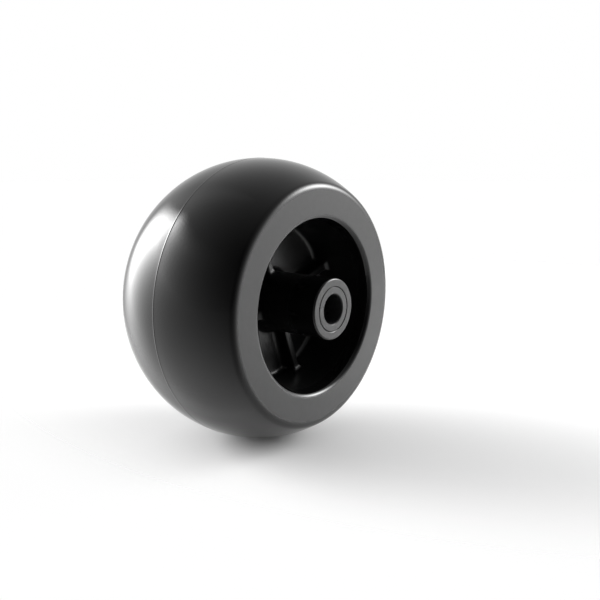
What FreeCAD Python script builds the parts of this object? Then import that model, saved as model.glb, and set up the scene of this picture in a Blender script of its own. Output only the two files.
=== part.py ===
"""Gauge wheel of a mower deck: one moulded wheel and the two bushes pressed into its hub.

Millimetres. The origin is the wheel's centre, the axle lies along Y, and Z points up from the
point where the tread meets the ground.
"""
import FreeCAD, Part
import os

import Sketcher

# Driving dimensions.
SIZES = {
    # Tread and side faces
    "tread_diameter": 127.0,
    "tread_land": 4.0,              # width of the straight band in the middle of the tread
    "crown_width": 34.0,            # of the middle stretch of the tread
    "crown_radius": 48.0,           # of the section of that stretch
    "wheel_width": 68.0,            # from one side face to the other
    "shoulder_drop": 10.25,         # from the middle of the tread to the end of its outer stretch
    "shoulder_depth": 1.2,          # of the shoulder's bevel, along the axle
    "shoulder_inset": 2.4,          # of the same bevel, towards the axle
    # Recess in each side
    "recess_mouth_diameter": 75.4,
    "recess_floor_diameter": 72.8,
    "recess_lip_bevel": 1.3,
    "web_thickness": 9.4,
    "recess_bevel": 1.9,            # in the corners of web, wall and hub
    # Hub
    "hub_diameter": 26.6,
    "hub_length": 82.8,
    "hub_edge_chamfer": 0.6,
    "hub_relief_diameter": 15.9,    # between the two bush seats
    "seat_chamfer": 0.4,
    # Ribs between hub and rim
    "rib_count": 4,
    "rib_angle": 20.0,              # of the first rib, from +X towards +Z
    "rib_thickness": 4.0,
    "rib_height": 6.2,              # above the web
    "rib_edge_chamfer": 0.8,
    # Bushes and the axle bolt that runs in them
    "bush_diameter": 19.05,
    "bush_length": 25.4,
    "bush_edge_chamfer": 0.2,
    "bush_bore_chamfer": 0.4,
    "bush_seat_gap": 0.02,          # radial, of the press fit as it is drawn
    "axle_diameter": 12.7,
    "axle_clearance": 0.075,        # radial
}

NEAR, FAR = -1, 1                   # the sides of the wheel along Y
FULL_TURN = 360.0
SAME = 1e-4                         # lengths closer than this are equal

# Radii and heights along the axle that several features share, as expressions of the sizes.
TREAD_R = "Sizes.tread_diameter / 2"
LAND_Y = "Sizes.tread_land / 2"
CROWN_Y = "Sizes.crown_width / 2"
CROWN_DROP = f"Sizes.crown_radius - sqrt(Sizes.crown_radius ^ 2 - ({CROWN_Y} - {LAND_Y}) ^ 2)"
FACE_Y = "Sizes.wheel_width / 2"
SHOULDER_R = TREAD_R + " - Sizes.shoulder_drop"
FACE_R = SHOULDER_R + " - Sizes.shoulder_inset"
MOUTH_R = "Sizes.recess_mouth_diameter / 2"
FLOOR_R = "Sizes.recess_floor_diameter / 2"
WEB_Y = "Sizes.web_thickness / 2"
RIB_Y = WEB_Y + " + Sizes.rib_height"
HUB_R = "Sizes.hub_diameter / 2"
HUB_Y = "Sizes.hub_length / 2"
BUSH_R = "Sizes.bush_diameter / 2"
SEAT_R = BUSH_R + " + Sizes.bush_seat_gap"
SEAT_Y = HUB_Y + " - Sizes.bush_length"
RELIEF_R = "Sizes.hub_relief_diameter / 2"
BORE_R = "Sizes.axle_diameter / 2 + Sizes.axle_clearance"
HALF_BUSH = "Sizes.bush_length / 2"
ON_AXIS = "0"

doc = FreeCAD.newDocument("GaugeWheel")
sheet = doc.addObject("Spreadsheet::Sheet", "Sizes")


def fill_sheet():
    """One row for each driving dimension: its name, its value and the alias that expressions use."""
    for row, (name, value) in enumerate(SIZES.items(), start=1):
        sheet.set(f"A{row}", name)
        sheet.set(f"B{row}", str(value))
        sheet.setAlias(f"B{row}", name)
    doc.recompute()


def value(expression):
    """The present value of an expression of the sizes."""
    return float(sheet.evalExpression(expression))


def origin_feature(body, role):
    """A plane or axis of a body's own origin."""
    return next(item for item in body.Origin.OriginFeatures if item.Role == role)


def new_sketch(body, name, plane):
    sketch = body.newObject("Sketcher::SketchObject", name)
    sketch.AttachmentSupport = (origin_feature(body, plane), "")
    sketch.MapMode = "FlatFace"
    return sketch


def bind(sketch, kind, geometry, point, expression):
    """Hold one coordinate of a point at an expression's value, or on the axis for zero."""
    if expression == ON_AXIS:
        axis = -2 if kind == "DistanceX" else -1
        sketch.addConstraint(Sketcher.Constraint("PointOnObject", geometry, point, axis))
        return
    index = sketch.addConstraint(Sketcher.Constraint(kind, -1, 1, geometry, point, value(expression)))
    sketch.setExpression(f"Constraints[{index}]", expression)


def tangent_arc(start, end, heading):
    """The arc that leaves start along a heading and runs to end."""
    chord = end - start
    side = FreeCAD.Vector(-heading.y, heading.x, 0)
    radius = chord.dot(chord) / (2 * chord.dot(side))
    centre = start + side * radius
    outwards = (start - centre) + (end - centre)
    return Part.Arc(start, centre + outwards.normalize() * abs(radius), end)


def draw_outline(sketch, corners, arcs=()):
    """A closed outline through corners given as pairs of expressions.

    The stretches after the corners numbered in arcs are arcs, tangent to the stretch before.
    """
    points = [FreeCAD.Vector(value(x), value(y), 0) for x, y in corners]
    heading = None
    for index, start in enumerate(points):
        end = points[(index + 1) % len(points)]
        chord = (end - start).normalize()
        if index in arcs:
            sketch.addGeometry(tangent_arc(start, end, heading))
            heading = chord * (2 * heading.dot(chord)) - heading
        else:
            sketch.addGeometry(Part.LineSegment(start, end))
            heading = chord
    for index, (x, y) in enumerate(corners):
        before = (index - 1) % len(points)
        kind = "Tangent" if index in arcs else "Coincident"
        sketch.addConstraint(Sketcher.Constraint(kind, before, 2, index, 1))
        bind(sketch, "DistanceX", index, 1, x)
        bind(sketch, "DistanceY", index, 1, y)


def revolve(body, sketch, name):
    """Turn a section through a full circle about the axle."""
    turned = body.newObject("PartDesign::Revolution", name)
    turned.Profile = (sketch, [""])
    turned.ReferenceAxis = (origin_feature(body, "Y_Axis"), [""])
    turned.Angle = FULL_TURN
    doc.recompute()
    return turned


def edge_names(feature, wanted):
    """The names of a feature's edges that a test picks."""
    return [f"Edge{number}" for number, edge in enumerate(feature.Shape.Edges, start=1) if wanted(edge)]


def at_ring(radius, height):
    """A test for edges whose ends lie on a circle about the axle."""
    def test(edge):
        return all(
            abs((vertex.X ** 2 + vertex.Z ** 2) ** 0.5 - value(radius)) < SAME
            and abs(abs(vertex.Y) - value(height)) < SAME
            for vertex in edge.Vertexes
        )
    return test


def chamfer(body, name, base, wanted, size):
    """Chamfer the edges of a feature that a test picks, all by one size."""
    feature = body.newObject("PartDesign::Chamfer", name)
    feature.Base = (base, edge_names(base, wanted))
    feature.setExpression("Size", f"Sizes.{size}")
    doc.recompute()
    return feature


def draw_wheel_section(body):
    """The far half of the wheel's section, from the middle of the tread round to the hub's bore."""
    section = new_sketch(body, "WheelSection", "XY_Plane")
    corners = [
        (TREAD_R, ON_AXIS),
        (TREAD_R, LAND_Y),
        (f"{TREAD_R} - ({CROWN_DROP})", CROWN_Y),
        (SHOULDER_R, FACE_Y + " - Sizes.shoulder_depth"),
        (FACE_R, FACE_Y),
        (MOUTH_R + " + Sizes.recess_lip_bevel", FACE_Y),
        (MOUTH_R, FACE_Y + " - Sizes.recess_lip_bevel"),
        (FLOOR_R, WEB_Y + " + Sizes.recess_bevel"),
        (FLOOR_R + " - Sizes.recess_bevel", WEB_Y),
        (HUB_R + " + Sizes.recess_bevel", WEB_Y),
        (HUB_R, WEB_Y + " + Sizes.recess_bevel"),
        (HUB_R, HUB_Y),
        (SEAT_R, HUB_Y),
        (SEAT_R, SEAT_Y),
        (RELIEF_R, SEAT_Y),
        (RELIEF_R, ON_AXIS),
    ]
    draw_outline(section, corners, arcs=(1, 2))
    return section


def add_ribs(body):
    """Straight ribs from the hub to the recess wall, standing on the web."""
    profile = new_sketch(body, "RibProfile", "XY_Plane")
    hub_middle = f"({HUB_R} + {SEAT_R}) / 2"
    rim_middle = f"({MOUTH_R} + {FACE_R}) / 2"
    corners = [(hub_middle, ON_AXIS), (rim_middle, ON_AXIS), (rim_middle, RIB_Y), (hub_middle, RIB_Y)]
    draw_outline(profile, corners)
    rib = body.newObject("PartDesign::Pad", "Rib")
    rib.Profile = (profile, [""])
    rib.SideType = "Symmetric"
    rib.setExpression("Length", "Sizes.rib_thickness")
    doc.recompute()
    ribs = body.newObject("PartDesign::PolarPattern", "Ribs")
    ribs.Originals = [rib]
    ribs.Axis = (origin_feature(body, "Y_Axis"), [""])
    ribs.Angle = FULL_TURN
    ribs.setExpression("Occurrences", "Sizes.rib_count")
    body.Tip = ribs
    doc.recompute()
    return ribs


def is_rib_edge(edge):
    """The two long front edges of a rib, level with its front and off the hub and the wall."""
    level = all(abs(vertex.Y - value(RIB_Y)) < SAME for vertex in edge.Vertexes)
    return level and edge.Curve.TypeId == "Part::GeomLine"


def make_wheel():
    """The moulded wheel: its far half with ribs and broken edges, mirrored to the near side."""
    body = doc.addObject("PartDesign::Body", "Wheel")
    body.Label = "wheel"
    revolve(body, draw_wheel_section(body), "HalfWheel")
    ribs = add_ribs(body)
    step = chamfer(body, "RibEdges", ribs, is_rib_edge, "rib_edge_chamfer")
    step = chamfer(body, "HubEdge", step, at_ring(HUB_R, HUB_Y), "hub_edge_chamfer")
    chamfer(body, "SeatMouth", step, at_ring(SEAT_R, HUB_Y), "seat_chamfer")
    both = body.newObject("PartDesign::Mirrored", "BothSides")
    both.TransformMode = "Whole shape"
    both.MirrorPlane = (origin_feature(body, "XZ_Plane"), [""])
    body.Tip = both
    body.Placement.Rotation.Axis = FreeCAD.Vector(0, -1, 0)
    body.setExpression("Placement.Rotation.Angle", "Sizes.rib_angle")
    doc.recompute()
    return body


def make_bush(label, side):
    """A plain sleeve bush, its outer end flush with the hub's end on one side."""
    body = doc.addObject("PartDesign::Body", label.title().replace("_", ""))
    body.Label = label
    section = new_sketch(body, "BushSection", "XY_Plane")
    corners = [
        (BORE_R, f"-({HALF_BUSH})"),
        (BUSH_R, f"-({HALF_BUSH})"),
        (BUSH_R, HALF_BUSH),
        (BORE_R, HALF_BUSH),
    ]
    draw_outline(section, corners)
    turned = revolve(body, section, "Sleeve")
    step = chamfer(body, "OuterEdges", turned, at_ring(BUSH_R, HALF_BUSH), "bush_edge_chamfer")
    chamfer(body, "BoreEdges", step, at_ring(BORE_R, HALF_BUSH), "bush_bore_chamfer")
    body.setExpression("Placement.Base.y", f"{side} * ({HUB_Y} - {HALF_BUSH})")
    doc.recompute()
    return body


def check_document(parts):
    """Stop if any object failed or a part has no sound solid."""
    for item in doc.Objects:
        if {"Invalid", "Error"} & set(item.State):
            raise RuntimeError(f"{item.Label} failed: {item.State}")
    for part in parts:
        if part.Shape.isNull() or not part.Shape.isValid() or len(part.Shape.Solids) != 1:
            raise RuntimeError(f"{part.Label} is not one sound solid")


def write_parts(parts):
    os.makedirs("parts", exist_ok=True)
    for part in parts:
        part.Shape.exportStep(f"parts/{part.Label}.step")
        print(f"{part.Label}: {part.Shape.Volume / 1000:.2f} cm3")


fill_sheet()
pieces = [make_wheel(), make_bush("bush_near", NEAR), make_bush("bush_far", FAR)]
check_document(pieces)
write_parts(pieces)
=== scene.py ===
"""The gauge wheel of a mower deck, dressed for its photograph.

Shapes are written in millimetres and become metres when a mesh is made. The axle lies along Y,
and Z points up from the floor that the tread stands on.
"""
import math

import bpy
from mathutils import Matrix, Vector, noise


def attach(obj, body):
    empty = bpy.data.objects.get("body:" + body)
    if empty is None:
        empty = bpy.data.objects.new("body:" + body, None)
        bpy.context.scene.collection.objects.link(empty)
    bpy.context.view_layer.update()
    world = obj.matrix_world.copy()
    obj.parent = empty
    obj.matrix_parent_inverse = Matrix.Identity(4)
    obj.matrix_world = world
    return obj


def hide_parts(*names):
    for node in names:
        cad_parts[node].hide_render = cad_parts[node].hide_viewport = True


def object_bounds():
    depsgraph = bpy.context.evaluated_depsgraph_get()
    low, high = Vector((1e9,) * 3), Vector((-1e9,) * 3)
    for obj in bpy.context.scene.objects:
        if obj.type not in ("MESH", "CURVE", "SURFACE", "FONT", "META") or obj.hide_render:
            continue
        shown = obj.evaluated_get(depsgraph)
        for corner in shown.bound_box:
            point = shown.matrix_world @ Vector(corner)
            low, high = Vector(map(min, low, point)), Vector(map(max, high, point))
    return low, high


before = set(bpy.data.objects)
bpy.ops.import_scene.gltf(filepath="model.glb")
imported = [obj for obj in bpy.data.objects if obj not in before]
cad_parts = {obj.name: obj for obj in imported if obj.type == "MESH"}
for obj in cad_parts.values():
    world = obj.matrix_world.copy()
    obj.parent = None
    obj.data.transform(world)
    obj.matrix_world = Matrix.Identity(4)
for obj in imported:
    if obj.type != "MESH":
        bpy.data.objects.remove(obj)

cad_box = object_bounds()
MM = 0.001
NEAR, FAR = -1, 1

# Wheel section, from the tread inwards
TREAD_R = 63.475
LAND_Y = 2.0
TREAD_DRAFT = math.radians(1.5)
FACE_Y = 34.0
FACE_R = 52.4
SHOULDER_ROUND = 4.0
MOUTH_R = 37.7
MOUTH_Y = 32.7
FLOOR_R = 36.4
LIP_ROUND = 2.4
WEB_Y = 4.7
RECESS_FILLET = 2.6
HUB_R = 13.3
HUB_Y = 41.399
HUB_ROUND = 0.8
SEAT_R = 9.545
SEAT_CHAMFER = 0.4
SEAT_Y = 16.0
RELIEF_R = 7.95
RECESS_DRAFT = math.atan2(MOUTH_R - FLOOR_R, MOUTH_Y - WEB_Y)

# Ribs
RIB_COUNT = 4
RIB_ANGLE = math.radians(20)
RIB_HALF = 2.0
RIB_HEIGHT = 6.2
RIB_ROUND = 1.0
RIB_DRAFT = 0.075
SECTOR = 2 * math.pi / RIB_COUNT

# Parting line round the middle of the tread: its size, and the noise that makes it uneven
BEAD_HEIGHT = 0.09
BEAD_HALF = 0.42
BEAD_SHARE = 0.75
BEAD_SWING = 0.5
BEAD_RING = 3.0
BEAD_SLICE = 0.7
BEAD_WAVES = 4.0

# Bushes
BUSH_R = 9.525
BUSH_LENGTH = 25.4
BORE_R = 6.425
BUSH_CHAMFER = 0.2
BORE_CHAMFER = 0.4

# How finely the meshes are divided
LAND_ROWS = (0.0, 0.1, 0.2, 0.3, BEAD_HALF, 0.6, 1.0, 1.5)
CROWN_POINTS = 26
SHOULDER_POINTS = 12
FACE_POINTS = 5
LIP_POINTS = 14
WALL_POINTS = 12
CORNER_POINTS = 8
RIB_EDGE_POINTS = 6
FILL_COLUMNS = 8
BUSH_COLUMNS = 128

# Rows close to an edge, which keep the smooth shading of the flat beside it flat
FACE_HOLD = 0.25
HUB_HOLD = 0.15
MOUTH_HOLD = 0.25
MOUTH_EASE = 0.06
CHAMFER_EASE = 0.05
SEAT_HOLD = 0.5
STEP_HOLD = 0.3
RIB_HOLD = 0.5
FOOT_HOLD = 0.8
BUSH_EASE = 0.03
BUSH_HOLD = 0.09

# Wheel plastic: where the satin finish lies, and where the side faces and hub ends take a lighter colour
# that is partly painted sheen. The side faces are told by how squarely they face along the axle and by the
# radius in metres where they end, the recesses by depth and radius in metres.
END_FACING = (0.93, 0.995)
END_EDGE = (0.0497, 0.0512)
RECESS_DEPTH = (0.026, 0.030)
RECESS_EDGE = (0.0375, 0.0385)

# Wheel plastic: colours and roughness of the glossy and the satin parts. The satin colour is partly the
# plastic's own tone and partly painted sheen, lighter to stand in for the light the side faces reflect.
GLOSSY_COLOURS = ((0.002, 0.002, 0.0021, 1), (0.006, 0.006, 0.0062, 1))
SATIN_AND_SHEEN_COLOURS = ((0.022, 0.022, 0.0222, 1), (0.034, 0.034, 0.0342, 1))
GLOSSY_ROUGHNESS = (0.08, 0.12)
SATIN_ROUGHNESS = (0.29, 0.33)
WHEEL_IOR = 1.5

# Noise of both plastics, as scale and detail, and the middle range of its values
MOTTLE = (60.0, 4.0)
GRAIN = (350.0, 5.0)
SHEEN = (180.0, 3.0)
PEEL = (900.0, 2.0)
BUSH_MOTTLE = (220.0, 4.0)
NOISE_RANGE = (0.3, 0.7)
PEEL_STRENGTH = 0.12
PEEL_HEIGHT = 0.0001

# Bush plastic
BUSH_COLOURS = ((0.014, 0.014, 0.015, 1), (0.030, 0.030, 0.031, 1))
BUSH_ROUGHNESS = (0.26, 0.36)
BUSH_IOR = 1.53

# Floor: its finish, its size in metres, and how far from a point it fades into the background. The point
# lies off to the right of the wheel, so the floor on its left fades white close by: painted light over the
# shadow that the lamp on the right throws there.
FLOOR_Z = cad_box[0].z
FLOOR_COLOUR = (0.97, 0.97, 0.97, 1)
FLOOR_ROUGHNESS = 0.45
FLOOR_RADIUS = 5.0
FLOOR_POINTS = 96
FADE_CENTRE = (0.30, 0.03, 0.0)
FADE_RANGE = (0.305, 0.40)
FADE_MOST = 0.97

# Studio: how bright it looks from the wheel, where 1 is the white of the background. Angles are in
# degrees, azimuths from +X towards +Y. The room grows brighter towards one side.
WHITE = 1.0
BRIGHT_SIDE = (40, -20)
BRIGHT_SPAN = (-0.95, 0.55)
ROOM = (0.0, 0.8)
AZIMUTHS = (-60, 300)

# Window on the left: brightness, its left edge, its top edge, and its sloping upper left edge
WINDOW = 13.0
WINDOW_LEFT = (70, 96)
WINDOW_TOP = (48, 34)
WINDOW_SLOPE = 0.68
WINDOW_SLOPE_AT = 100
WINDOW_BRINK = (42, 28)

# Where its light starts to fall off downwards, along the slope and to the right, and how fast
WINDOW_FOOT = (6, 8)
WINDOW_UNDER = (18, 13.5)
WINDOW_RIGHT = (110, 12)

# Glow of the wall beside it: brightness, where it falls off on the right, and the height and spread
# of its middle
GLOW = 0.87
GLOW_RIGHT = (105, 41)
GLOW_HEIGHT = (-10, 42)

# Soft round lights, as brightness, direction and spread: the lamp on the right, the bright wall
# under it, and the table beyond its visible part
LAMPS = (
    (17.0, (-34, 23), 9.5),
    (1.2, (-48, -6), 20.0),
    (0.4, (160, -50), 25.0),
)

# The photograph's camera: where it stands and how much it takes in
CAMERA_AZIMUTH = -50.334
CAMERA_ELEVATION = 10.664
CAMERA_PLACE = Vector((-246.307, -227.393, 61.875))
CAMERA_NEAR = 0.01
FOCAL_PIXELS = 740.04
FRAME_PIXELS = 600
PIXEL_MIDDLE = 0.5
SENSOR = 36.0


def steps(start, end, count):
    """count values from start to end, both included."""
    return [start + (end - start) * index / (count - 1) for index in range(count)]


def between(start, end, count):
    """The same without start and end."""
    return steps(start, end, count)[1:-1]


def arc(centre, radius, start, end, count):
    """Points of a circle's arc in the section plane, angles in radians from the radial direction."""
    return [
        (centre[0] + radius * math.cos(a), centre[1] + radius * math.sin(a))
        for a in steps(start, end, count)
    ]


def bead_height(angle):
    """The parting bead is uneven round the tread, as flash is."""
    around = Vector((BEAD_RING * math.cos(angle), BEAD_RING * math.sin(angle), BEAD_SLICE))
    return BEAD_HEIGHT * (BEAD_SHARE + BEAD_SWING * noise.noise(around * BEAD_WAVES))


def tread_rows():
    """The tread from its middle to the shoulder, as radius and distance from the middle."""
    middle = TREAD_R - BEAD_HEIGHT
    land_r = middle - LAND_Y * math.tan(TREAD_DRAFT)
    rise = FACE_Y - LAND_Y
    drop = land_r - FACE_R
    crown = math.hypot(rise, drop) / (2 * math.sin(math.atan2(drop, rise) - TREAD_DRAFT))
    centre = (land_r - crown * math.cos(TREAD_DRAFT), LAND_Y - crown * math.sin(TREAD_DRAFT))
    round_y = FACE_Y - SHOULDER_ROUND
    reach = crown - SHOULDER_ROUND
    across = math.sqrt(reach ** 2 - (round_y - centre[1]) ** 2)
    turn = math.atan2(round_y - centre[1], across)
    land = [(middle - y * math.tan(TREAD_DRAFT), y) for y in LAND_ROWS]
    crowned = arc(centre, crown, TREAD_DRAFT, turn, CROWN_POINTS)
    shoulder = arc((centre[0] + across, round_y), SHOULDER_ROUND, turn, math.pi / 2, SHOULDER_POINTS)
    return land + crowned + shoulder[1:]


def wall_radius(y):
    """Radius of the recess wall, which has a little draft, at a distance from the wheel's middle."""
    return FLOOR_R + (MOUTH_R - FLOOR_R) * (y - WEB_Y) / (MOUTH_Y - WEB_Y)


def lip_rows():
    """The rounded lip between side face and recess wall."""
    y = FACE_Y - LIP_ROUND
    centre = (wall_radius(y) + LIP_ROUND / math.cos(RECESS_DRAFT), y)
    return arc(centre, LIP_ROUND, math.pi / 2, math.pi - RECESS_DRAFT, LIP_POINTS)


def recess_rows(level, top):
    """Wall, floor and hub side of the recess where its floor stands at a level: a list of rows.

    Each row is radius, distance from the middle, and how far the columns follow the ribs there.
    """
    y = level + RECESS_FILLET
    outer = (wall_radius(y) - RECESS_FILLET / math.cos(RECESS_DRAFT), y)
    inner = (HUB_R + RECESS_FILLET, y)
    at_wall = arc(outer, RECESS_FILLET, -RECESS_DRAFT, -math.pi / 2, CORNER_POINTS)
    at_hub = arc(inner, RECESS_FILLET, -math.pi / 2, -math.pi, CORNER_POINTS)
    foot_r, foot_y = at_wall[0]
    rows = []
    for share in between(0.0, 1.0, WALL_POINTS):
        rows.append((top[0] + (foot_r - top[0]) * share, top[1] + (foot_y - top[1]) * share, share))
    rows += [(r, h, 1.0) for r, h in at_wall]
    rows += [(r, level, 1.0) for r in between(outer[0], inner[0], WALL_POINTS)]
    rows += [(r, h, 1.0) for r, h in at_hub]
    hub_top = HUB_Y - HUB_ROUND
    for share in between(0.0, 1.0, WALL_POINTS):
        rows.append((HUB_R, y + (hub_top - y) * share, 1.0 - share))
    return rows


def hub_end_rows():
    """Hub end, the mouth of the bush seat, the seat and the relief behind it."""
    edge_r = HUB_R - HUB_ROUND
    mouth_r = SEAT_R + SEAT_CHAMFER
    mouth_y = HUB_Y - SEAT_CHAMFER
    return arc((edge_r, HUB_Y - HUB_ROUND), HUB_ROUND, 0.0, math.pi / 2, CORNER_POINTS) + [
        (edge_r - HUB_HOLD, HUB_Y),
        (mouth_r + MOUTH_HOLD, HUB_Y),
        (mouth_r + MOUTH_EASE, HUB_Y),
        (mouth_r - CHAMFER_EASE, HUB_Y - CHAMFER_EASE),
        (SEAT_R + CHAMFER_EASE, mouth_y + CHAMFER_EASE),
        (SEAT_R, mouth_y - MOUTH_EASE),
        (SEAT_R, mouth_y - SEAT_HOLD),
        (SEAT_R, SEAT_Y + STEP_HOLD),
        (SEAT_R, SEAT_Y),
        (SEAT_R - STEP_HOLD, SEAT_Y),
        (RELIEF_R + STEP_HOLD, SEAT_Y),
        (RELIEF_R, SEAT_Y),
        (RELIEF_R, SEAT_Y - STEP_HOLD),
        (RELIEF_R, 0.0),
    ]


def rib_columns():
    """Half of one rib's cross-section: offsets from its middle plane and the floor level there."""
    front = WEB_Y + RIB_HEIGHT
    columns = [(0.0, front), (RIB_HOLD, front)]
    edge = RIB_HALF - RIB_DRAFT - RIB_ROUND
    for a in steps(0.0, math.pi / 2, RIB_EDGE_POINTS):
        columns.append((edge + RIB_ROUND * math.sin(a), front - RIB_ROUND * (1 - math.cos(a))))
    columns.append((RIB_HALF, (front - RIB_ROUND + WEB_Y + RECESS_FILLET) / 2))
    foot = RIB_HALF + RIB_DRAFT
    for a in steps(0.0, math.pi / 2, CORNER_POINTS):
        offset = foot + RECESS_FILLET * (1 - math.cos(a))
        columns.append((offset, WEB_Y + RECESS_FILLET * (1 - math.sin(a))))
    columns.append((foot + RECESS_FILLET + FOOT_HOLD, WEB_Y))
    return columns


def flare(radius, level):
    """How far a rib widens sideways at a radius, where it runs into the wall or the hub."""
    y = level + RECESS_FILLET
    widest = 0.0
    for gap in (wall_radius(y) - radius, radius - HUB_R):
        inside = RECESS_FILLET - max(gap, 0.0)
        if inside > 0:
            left = math.sqrt(max(RECESS_FILLET ** 2 - inside ** 2, 0.0))
            widest = max(widest, RECESS_FILLET - left)
    return widest


def sector_columns():
    """All columns of one sector, from one rib to just before the next: (rib offset, level, fill)."""
    half = rib_columns()
    fills = [(half[-1][0], WEB_Y, index / FILL_COLUMNS) for index in range(1, FILL_COLUMNS + 1)]
    right = [(offset, level, 0.0) for offset, level in half] + fills
    left = [(-offset, level, fill) for offset, level, fill in reversed(right[1:-1])]
    return right + left


def column_angle(offset, level, fill, radius):
    """Angle of a column from its rib at a radius, following the rib's parallel sides."""
    spread = flare(radius, level) * min(1.0, abs(offset) / (RIB_HALF - RIB_ROUND))
    side = math.asin((abs(offset) + spread) / radius)
    return math.copysign(side + (SECTOR / 2 - side) * fill, offset)


def with_bead(radius, y, angle):
    """The radius at a point of the outside, with the parting bead added near the tread's middle."""
    if y < BEAD_HALF and radius > FACE_R:
        radius += bead_height(angle) * math.cos(math.pi / 2 * y / BEAD_HALF) ** 2
    return radius


def wheel_half(side):
    """Columns of points of one half of the wheel, from the tread's middle to the bore's middle."""
    sector = sector_columns()
    count = RIB_COUNT * len(sector)
    tread = tread_rows()
    lip = lip_rows()
    face_r = steps(tread[-1][0] - FACE_HOLD, lip[0][0] + FACE_HOLD, FACE_POINTS)
    outer = tread + [(r, FACE_Y) for r in face_r] + lip
    hub_end = hub_end_rows()
    columns = []
    for index in range(count):
        rib, place = divmod(index, len(sector))
        offset, level, fill = sector[place]
        even = 2 * math.pi * index / count
        middle = SECTOR * (rib if offset >= 0 else rib + 1)
        points = [(with_bead(r, y, even), y, even) for r, y in outer]
        for r, y, follow in recess_rows(level, lip[-1]):
            turned = middle + column_angle(offset, level, fill, r)
            points.append((r, y, even + (turned - even) * follow))
        points += [(r, y, even) for r, y in hub_end]
        columns.append([
            Vector((r * math.cos(a + RIB_ANGLE), side * y, r * math.sin(a + RIB_ANGLE))) * MM
            for r, y, a in points
        ])
    return columns


def add_mesh(name, vertices, faces):
    """A smooth-shaded object in the scene."""
    mesh = bpy.data.meshes.new(name)
    mesh.from_pydata([tuple(v) for v in vertices], [], faces)
    mesh.validate()
    mesh.shade_smooth()
    piece = bpy.data.objects.new(name, mesh)
    bpy.context.scene.collection.objects.link(piece)
    return piece


def ring_faces(count, rows):
    """Quads of a closed band whose vertices are numbered column by column, closed both ways."""
    faces = []
    for column in range(count):
        here, following = column * rows, (column + 1) % count * rows
        for row in range(rows):
            onward = (row + 1) % rows
            faces.append((here + row, following + row, following + onward, here + onward))
    return faces


def make_wheel():
    """The moulding: both halves share the rows in the middle of the tread and of the bore."""
    near, far = wheel_half(NEAR), wheel_half(FAR)
    vertices = []
    for near_column, far_column in zip(near, far):
        vertices += near_column + far_column[-2:0:-1]
    rows = len(near[0]) + len(far[0]) - 2
    piece = add_mesh("wheel_moulding", vertices, ring_faces(len(near), rows))
    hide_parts("wheel")
    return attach(piece, "root")


def bush_section():
    """Outline of the sleeve's wall, with two points close to each corner on both sides of it."""
    low, high = HUB_Y - BUSH_LENGTH, HUB_Y
    corners = [Vector(corner) for corner in (
        (BUSH_R, low + BUSH_CHAMFER),
        (BUSH_R, high - BUSH_CHAMFER),
        (BUSH_R - BUSH_CHAMFER, high),
        (BORE_R + BORE_CHAMFER, high),
        (BORE_R, high - BORE_CHAMFER),
        (BORE_R, low + BORE_CHAMFER),
        (BORE_R + BORE_CHAMFER, low),
        (BUSH_R - BUSH_CHAMFER, low),
    )]
    section = []
    for index, corner in enumerate(corners):
        back = (corners[index - 1] - corner).normalized()
        onward = (corners[(index + 1) % len(corners)] - corner).normalized()
        section += [corner + back * BUSH_HOLD, corner + back * BUSH_EASE]
        section += [corner + onward * BUSH_EASE, corner + onward * BUSH_HOLD]
    return section


def make_bush(side, name, node):
    """A sleeve bush, flush with the hub's end. The order of its section makes its faces point out."""
    section = bush_section()[::-side]
    vertices = []
    for column in range(BUSH_COLUMNS):
        a = 2 * math.pi * column / BUSH_COLUMNS
        vertices += [Vector((r * math.cos(a), side * y, r * math.sin(a))) * MM for r, y in section]
    piece = add_mesh(name, vertices, ring_faces(BUSH_COLUMNS, len(section)))
    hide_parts(node)
    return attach(piece, "root")


def new_material(name):
    """A material with its nodes, its links and its main shader."""
    material = bpy.data.materials.new(name)
    material.use_nodes = True
    nodes = material.node_tree.nodes
    return material, nodes, material.node_tree.links, nodes["Principled BSDF"]


def feed(links, socket, value):
    """Link another node's output to a socket, or set the socket to a constant."""
    if isinstance(value, bpy.types.NodeSocket):
        links.new(value, socket)
    else:
        socket.default_value = value


def noise_node(nodes, links, place, scale, detail):
    """Noise at a place, around 0.5."""
    texture = nodes.new("ShaderNodeTexNoise")
    texture.inputs["Scale"].default_value = scale
    texture.inputs["Detail"].default_value = detail
    links.new(place, texture.inputs["Vector"])
    return texture.outputs["Fac"]


def ramp_node(nodes, links, value, low, high, dark, light, smooth=False):
    """Runs from dark to light while a value runs from low to high."""
    ramp = nodes.new("ShaderNodeMapRange")
    ramp.interpolation_type = "SMOOTHSTEP" if smooth else "LINEAR"
    ramp.inputs["From Min"].default_value = low
    ramp.inputs["From Max"].default_value = high
    ramp.inputs["To Min"].default_value = dark
    ramp.inputs["To Max"].default_value = light
    links.new(value, ramp.inputs["Value"])
    return ramp.outputs["Result"]


def mix_node(nodes, links, kind, share, first, second):
    """Mixes two numbers (FLOAT) or colours (RGBA)."""
    mix = nodes.new("ShaderNodeMix")
    mix.data_type = kind
    feed(links, mix.inputs["Factor"], share)
    feed(links, mix.inputs["A"], first)
    feed(links, mix.inputs["B"], second)
    return mix.outputs["Result"]


def bump_node(nodes, links, height, strength, distance):
    """A normal disturbed by a height."""
    bump = nodes.new("ShaderNodeBump")
    bump.inputs["Strength"].default_value = strength
    bump.inputs["Distance"].default_value = distance
    links.new(height, bump.inputs["Height"])
    return bump.outputs["Normal"]


def math_node(nodes, links, operation, *values):
    """A sum, product or other operation on outputs of nodes and constants."""
    node = nodes.new("ShaderNodeMath")
    node.operation = operation
    for socket, value in zip(node.inputs, values):
        feed(links, socket, value)
    return node.outputs["Value"]


def product(nodes, links, first, *others):
    """The product of several outputs and constants."""
    for other in others:
        first = math_node(nodes, links, "MULTIPLY", first, other)
    return first


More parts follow.
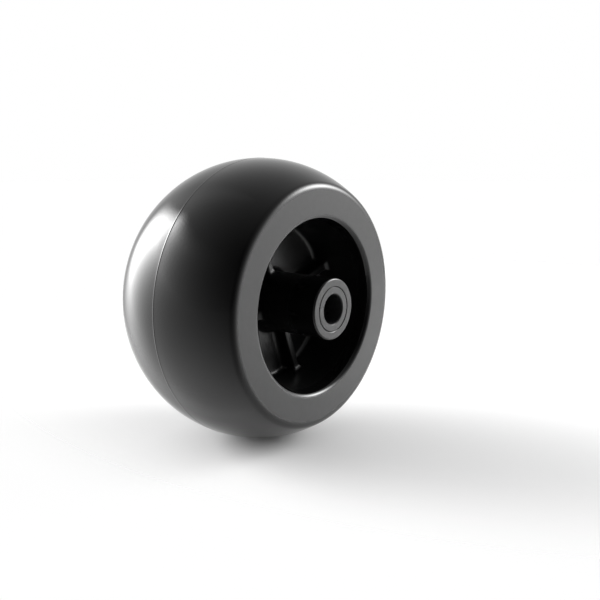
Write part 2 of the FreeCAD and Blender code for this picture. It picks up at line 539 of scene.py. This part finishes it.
def finish_masks(nodes, links, coordinates):
    """Two masks: 1 on side faces and hub ends, which lie across the axle, and 1 inside the recesses."""
    place = nodes.new("ShaderNodeSeparateXYZ")
    links.new(coordinates.outputs["Object"], place.inputs["Vector"])
    normal = nodes.new("ShaderNodeSeparateXYZ")
    links.new(coordinates.outputs["Normal"], normal.inputs["Vector"])
    facing = math_node(nodes, links, "ABSOLUTE", normal.outputs["Y"])
    depth = math_node(nodes, links, "ABSOLUTE", place.outputs["Y"])
    across = math_node(nodes, links, "POWER", place.outputs["X"], 2.0)
    upwards = math_node(nodes, links, "POWER", place.outputs["Z"], 2.0)
    radius = math_node(nodes, links, "SQRT", math_node(nodes, links, "ADD", across, upwards))

    def rising(value, span):
        return ramp_node(nodes, links, value, *span, 0.0, 1.0, smooth=True)

    def falling(value, span):
        return ramp_node(nodes, links, value, *span, 1.0, 0.0, smooth=True)

    flat = product(nodes, links, rising(facing, END_FACING), falling(radius, END_EDGE))
    ends = product(nodes, links, flat, rising(depth, RECESS_DEPTH))
    inside = product(nodes, links, falling(depth, RECESS_DEPTH), falling(radius, RECESS_EDGE))
    return ends, inside


def wheel_plastic():
    """Glossy black moulded plastic with a faint orange peel, satin on the ends and in the recesses. The
    ends are painted lighter: partly their own tone, partly painted sheen.
    """
    material, nodes, links, shader = new_material("wheel_plastic")
    coordinates = nodes.new("ShaderNodeTexCoord")
    place = coordinates.outputs["Object"]
    ends, inside = finish_masks(nodes, links, coordinates)
    mottle = noise_node(nodes, links, place, *MOTTLE)
    deep = mix_node(nodes, links, "RGBA", mottle, *GLOSSY_COLOURS)
    grain = noise_node(nodes, links, place, *GRAIN)
    # Side faces and hub ends get a lighter colour: partly the plastic's own tone, partly painted sheen for
    # the light they reflect.
    satin_and_painted_sheen = mix_node(nodes, links, "RGBA", grain, *SATIN_AND_SHEEN_COLOURS)
    links.new(mix_node(nodes, links, "RGBA", ends, deep, satin_and_painted_sheen), shader.inputs["Base Color"])
    sheen = noise_node(nodes, links, place, *SHEEN)
    glossy = ramp_node(nodes, links, sheen, *NOISE_RANGE, *GLOSSY_ROUGHNESS)
    satin = ramp_node(nodes, links, sheen, *NOISE_RANGE, *SATIN_ROUGHNESS)
    share = math_node(nodes, links, "MAXIMUM", ends, inside)
    links.new(mix_node(nodes, links, "FLOAT", share, glossy, satin), shader.inputs["Roughness"])
    peel = noise_node(nodes, links, place, *PEEL)
    links.new(bump_node(nodes, links, peel, PEEL_STRENGTH, PEEL_HEIGHT), shader.inputs["Normal"])
    shader.inputs["IOR"].default_value = WHEEL_IOR
    return material


def bush_plastic():
    """Dark satin plastic, a little mottled."""
    material, nodes, links, shader = new_material("bush_plastic")
    place = nodes.new("ShaderNodeTexCoord").outputs["Object"]
    mottle = noise_node(nodes, links, place, *BUSH_MOTTLE)
    links.new(mix_node(nodes, links, "RGBA", mottle, *BUSH_COLOURS), shader.inputs["Base Color"])
    roughness = ramp_node(nodes, links, mottle, *NOISE_RANGE, *BUSH_ROUGHNESS)
    links.new(roughness, shader.inputs["Roughness"])
    shader.inputs["IOR"].default_value = BUSH_IOR
    return material


def paint(piece, material):
    """Give a piece one material."""
    piece.data.materials.clear()
    piece.data.materials.append(material)


def direction(azimuth, elevation):
    """Unit vector at an azimuth from +X towards +Y and an elevation, in degrees."""
    a, e = math.radians(azimuth), math.radians(elevation)
    return Vector((math.cos(a) * math.cos(e), math.sin(a) * math.cos(e), math.sin(e)))


def window_light(nodes, links, azimuth, elevation):
    """The window, sharp at its left and top and soft elsewhere, and the glow of the wall beside it."""
    def edge(value, span, dark=0.0, light=1.0):
        low, high = [math.radians(angle) for angle in span]
        return ramp_node(nodes, links, value, low, high, dark, light, smooth=True)

    def beyond(value, sign, start, length):
        """How many lengths a value lies beyond the angle where the light starts to fall off."""
        off = math_node(nodes, links, "SUBTRACT", value, math.radians(start))
        return product(nodes, links, off, sign / math.radians(length))

    def decay(*lengths):
        """Falls by a factor of e over each length, along the furthest of several."""
        furthest = 0.0
        for length in lengths:
            furthest = math_node(nodes, links, "MAXIMUM", length, furthest)
        return math_node(nodes, links, "POWER", math.exp(-1), furthest)

    aside = math_node(nodes, links, "SUBTRACT", azimuth, math.radians(WINDOW_SLOPE_AT))
    slope = math_node(nodes, links, "SUBTRACT", elevation, product(nodes, links, aside, WINDOW_SLOPE))
    left = edge(azimuth, WINDOW_LEFT)
    top = edge(elevation, WINDOW_TOP[::-1], WINDOW, 0.0)
    brink = edge(slope, WINDOW_BRINK[::-1], 1.0, 0.0)
    fall = decay(
        beyond(azimuth, 1, *WINDOW_RIGHT),
        beyond(slope, -1, *WINDOW_UNDER),
        beyond(elevation, -1, *WINDOW_FOOT),
    )
    window = product(nodes, links, left, top, brink, fall)
    height = beyond(elevation, 1, *GLOW_HEIGHT)
    bell = math_node(nodes, links, "EXPONENT", product(nodes, links, height, height, -0.5))
    glow = product(nodes, links, left, decay(beyond(azimuth, 1, *GLOW_RIGHT)), bell, GLOW)
    return math_node(nodes, links, "ADD", window, glow)


def make_world():
    """A white background for the camera. The wheel and the floor see a studio with a window and a lamp."""
    world = bpy.data.worlds.new("studio")
    bpy.context.scene.world = world
    world.use_nodes = True
    nodes, links = world.node_tree.nodes, world.node_tree.links
    background = nodes["Background"]
    background.inputs["Color"].default_value = (1, 1, 1, 1)
    ray = nodes.new("ShaderNodeTexCoord").outputs["Generated"]

    def towards(place):
        """Cosine of the angle between the ray and a direction."""
        cosine = nodes.new("ShaderNodeVectorMath")
        cosine.operation = "DOT_PRODUCT"
        links.new(ray, cosine.inputs[0])
        cosine.inputs[1].default_value = direction(*place)
        return cosine.outputs["Value"]

    parts = nodes.new("ShaderNodeSeparateXYZ")
    links.new(ray, parts.inputs["Vector"])
    azimuth = math_node(nodes, links, "ARCTAN2", parts.outputs["Y"], parts.outputs["X"])
    first, last = [math.radians(angle) for angle in AZIMUTHS]
    azimuth = math_node(nodes, links, "WRAP", azimuth, last, first)
    elevation = math_node(nodes, links, "ARCSINE", parts.outputs["Z"])
    room = ramp_node(nodes, links, towards(BRIGHT_SIDE), *BRIGHT_SPAN, *ROOM)
    studio = math_node(nodes, links, "ADD", room, window_light(nodes, links, azimuth, elevation))
    for brightness, place, spread in LAMPS:
        away = math_node(nodes, links, "SUBTRACT", towards(place), 1.0)
        away = product(nodes, links, away, math.radians(spread) ** -2)
        lamp = product(nodes, links, math_node(nodes, links, "EXPONENT", away), brightness)
        studio = math_node(nodes, links, "ADD", studio, lamp)
    seen = nodes.new("ShaderNodeLightPath").outputs["Is Camera Ray"]
    links.new(mix_node(nodes, links, "FLOAT", seen, studio, WHITE), background.inputs["Strength"])


def floor_material():
    """Pale table top that fades out into the white of the background."""
    material, nodes, links, shader = new_material("floor")
    shader.inputs["Base Color"].default_value = FLOOR_COLOUR
    shader.inputs["Roughness"].default_value = FLOOR_ROUGHNESS
    apart = nodes.new("ShaderNodeVectorMath")
    apart.operation = "DISTANCE"
    links.new(nodes.new("ShaderNodeTexCoord").outputs["Object"], apart.inputs[0])
    # Fading from a point right of the wheel paints light on the floor to its left, washing out the right
    # lamp's shadow there.
    apart.inputs[1].default_value = FADE_CENTRE
    share = ramp_node(nodes, links, apart.outputs["Value"], *FADE_RANGE, 0.0, FADE_MOST, smooth=True)
    gone = nodes.new("ShaderNodeBsdfTransparent")
    mix = nodes.new("ShaderNodeMixShader")
    links.new(share, mix.inputs[0])
    links.new(shader.outputs["BSDF"], mix.inputs[1])
    links.new(gone.outputs["BSDF"], mix.inputs[2])
    links.new(mix.outputs["Shader"], nodes["Material Output"].inputs["Surface"])
    return material


def make_floor():
    """A wide round table top under the tread."""
    ring = []
    for index in range(FLOOR_POINTS):
        a = 2 * math.pi * index / FLOOR_POINTS
        ring.append((FLOOR_RADIUS * math.cos(a), FLOOR_RADIUS * math.sin(a), 0.0))
    floor = add_mesh("floor", ring, [tuple(range(FLOOR_POINTS))])
    floor.location.z = FLOOR_Z
    paint(floor, floor_material())


def make_camera():
    """The camera that took the photograph, as fitted to its edges."""
    data = bpy.data.cameras.new("camera")
    data.sensor_width = SENSOR
    data.lens = FOCAL_PIXELS / FRAME_PIXELS * SENSOR
    data.shift_x = -PIXEL_MIDDLE / FRAME_PIXELS
    data.shift_y = PIXEL_MIDDLE / FRAME_PIXELS
    data.clip_start = CAMERA_NEAR
    camera = bpy.data.objects.new("camera", data)
    a, e = math.radians(CAMERA_AZIMUTH), math.radians(CAMERA_ELEVATION)
    back = Vector((math.sin(a) * math.cos(e), -math.cos(a) * math.cos(e), math.sin(e)))
    camera.location = CAMERA_PLACE * MM
    camera.rotation_mode = "QUATERNION"
    camera.rotation_quaternion = (-back).to_track_quat("-Z", "Y")
    bpy.context.scene.collection.objects.link(camera)
    bpy.context.scene.camera = camera


bpy.context.scene.view_settings.view_transform = "Standard"
plastic = wheel_plastic()
sleeve = bush_plastic()
paint(make_wheel(), plastic)
paint(make_bush(NEAR, "bush_near_sleeve", "bush_near"), sleeve)
paint(make_bush(FAR, "bush_far_sleeve", "bush_far"), sleeve)
make_world()
make_floor()
make_camera()
